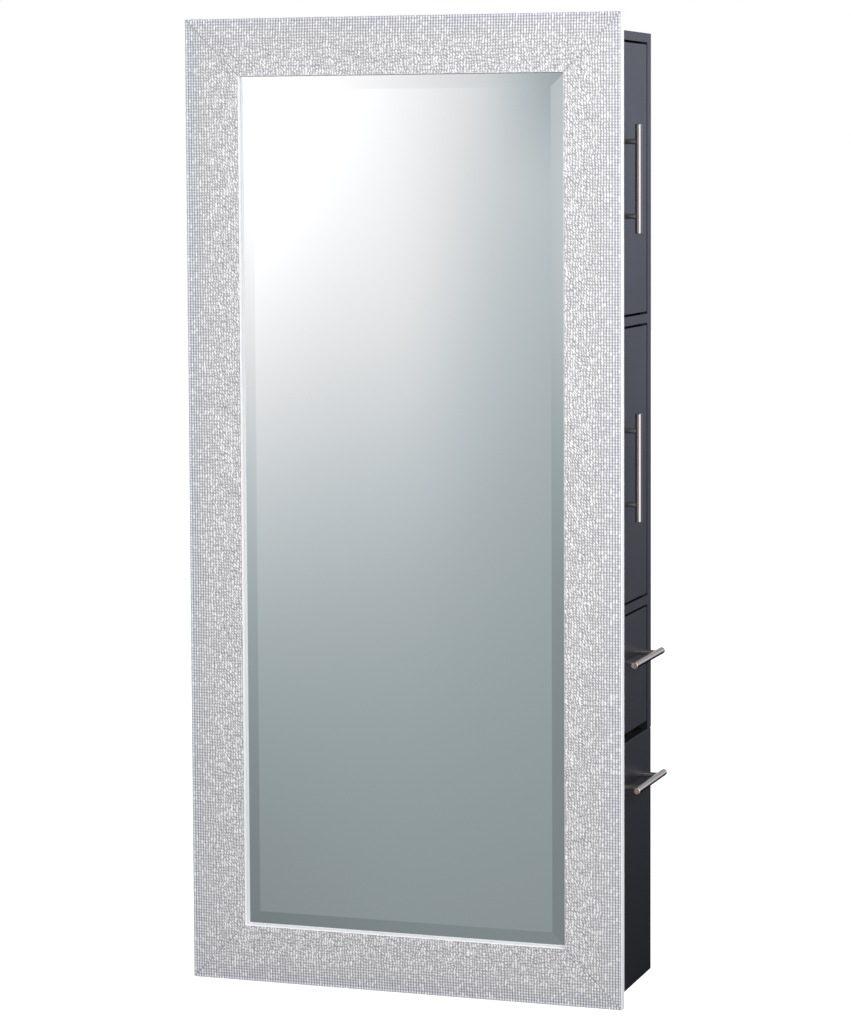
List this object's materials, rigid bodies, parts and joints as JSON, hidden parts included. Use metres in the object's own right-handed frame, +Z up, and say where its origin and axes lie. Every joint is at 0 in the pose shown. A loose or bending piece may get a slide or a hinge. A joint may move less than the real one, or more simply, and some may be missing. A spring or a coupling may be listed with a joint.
{
  "type": "salon styling station",
  "caption": "Wall-hung salon styling station: tall bevelled mirror in a wide embossed white frame over a shallow black cabinet with side doors, a drawer and a tilt-out bin.",
  "frame": {"origin": "on the wall plane, midway between the four wall screws, which is the centre of the cabinet back", "axes": "+Z up, +Y into the wall, the mirror faces -Y, +X towards the doors, drawer and bin"},
  "size_m": [0.818, 0.263, 1.72],
  "materials": {
    "embossed_white": "MDF moulding wrapped in white embossed basket-weave film, satin",
    "mirror": "silvered float glass with a ground and polished bevel",
    "black_laminate": "black melamine-faced board, satin, fine grain",
    "inner_laminate": "black melamine-faced board inside the drawer and bin",
    "back_sheet": "black-faced fibreboard",
    "hardboard": "brown hardboard",
    "brushed_nickel": "brushed nickel",
    "zinc_steel": "bright zinc plate",
    "beech": "bare beech",
    "nylon": "black nylon",
    "blacked_steel": "black oxide",
    "catch_plastic": "black moulded plastic",
    "rubber": "black rubber"
  },
  "bodies": {
    "carcass": {"back_panel": "back_sheet", "bin_hinge_fixed_leaf": "zinc_steel", "bin_hinge_pin": "zinc_steel", "bin_stop_blocks": "rubber", "bottom_panel": "black_laminate", "carcass_dowels": "beech", "centre_partition": "black_laminate", "drawer_slide_channels": "zinc_steel", "drawer_slide_spacer": "black_laminate", "frame_bottom_rail": "embossed_white", "frame_corner_splines": "beech", "frame_left_rail": "embossed_white", "frame_right_rail": "embossed_white", "frame_screws": "zinc_steel", "frame_top_rail": "embossed_white", "front_board": "black_laminate", "left_side_panel": "black_laminate", "lower_divider": "black_laminate", "lower_hanging_rails": "black_laminate", "lower_shelf": "black_laminate", "magnetic_catches": "catch_plastic", "middle_divider": "black_laminate", "mirror_backing_board": "hardboard", "mirror_glass": "mirror", "pivot_bushes": "nylon", "rear_stile": "black_laminate", "top_panel": "black_laminate", "upper_divider": "black_laminate", "upper_hanging_rails": "black_laminate", "upper_shelf": "black_laminate"},
    "upper_door": {"upper_door": "black_laminate", "upper_door_pivot_pins": "blacked_steel", "upper_door_strike": "zinc_steel", "upper_pull_bar": "brushed_nickel", "upper_pull_posts": "brushed_nickel", "upper_pull_screws": "zinc_steel"},
    "lower_door": {"lower_door": "black_laminate", "lower_door_pivot_pins": "blacked_steel", "lower_door_strike": "zinc_steel", "lower_pull_bar": "brushed_nickel", "lower_pull_posts": "brushed_nickel", "lower_pull_screws": "zinc_steel"},
    "drawer": {"drawer_front": "black_laminate", "drawer_sides": "inner_laminate", "drawer_back": "inner_laminate", "drawer_floor_sheet": "inner_laminate", "drawer_slide_runners": "zinc_steel", "drawer_pull_bar": "brushed_nickel", "drawer_pull_posts": "brushed_nickel", "drawer_pull_screws": "zinc_steel"},
    "tilt_bin": {"bin_front": "black_laminate", "bin_sides": "inner_laminate", "bin_back": "inner_laminate", "bin_floor_board": "inner_laminate", "bin_hinge_moving_leaf": "zinc_steel", "bin_pull_bar": "brushed_nickel", "bin_pull_posts": "brushed_nickel", "bin_pull_screws": "zinc_steel"}
  },
  "joints": [
    {"name": "upper_door_hinge", "type": "hinge", "parent": "carcass", "child": "upper_door", "pos_m": [0.375, -0.039, 0.584], "axis": [0, 0, 1], "range_deg": [0, 90]},
    {"name": "lower_door_hinge", "type": "hinge", "parent": "carcass", "child": "lower_door", "pos_m": [0.375, -0.039, 0.086], "axis": [0, 0, 1], "range_deg": [0, 90]},
    {"name": "drawer_slide", "type": "slide", "parent": "carcass", "child": "drawer", "axis": [1, 0, 0], "range_m": [0, 0.25]},
    {"name": "bin_tilt", "type": "hinge", "parent": "carcass", "child": "tilt_bin", "pos_m": [0.367, -0.12, -0.8416], "axis": [0, 1, 0], "range_deg": [0, 27]}
  ]
}
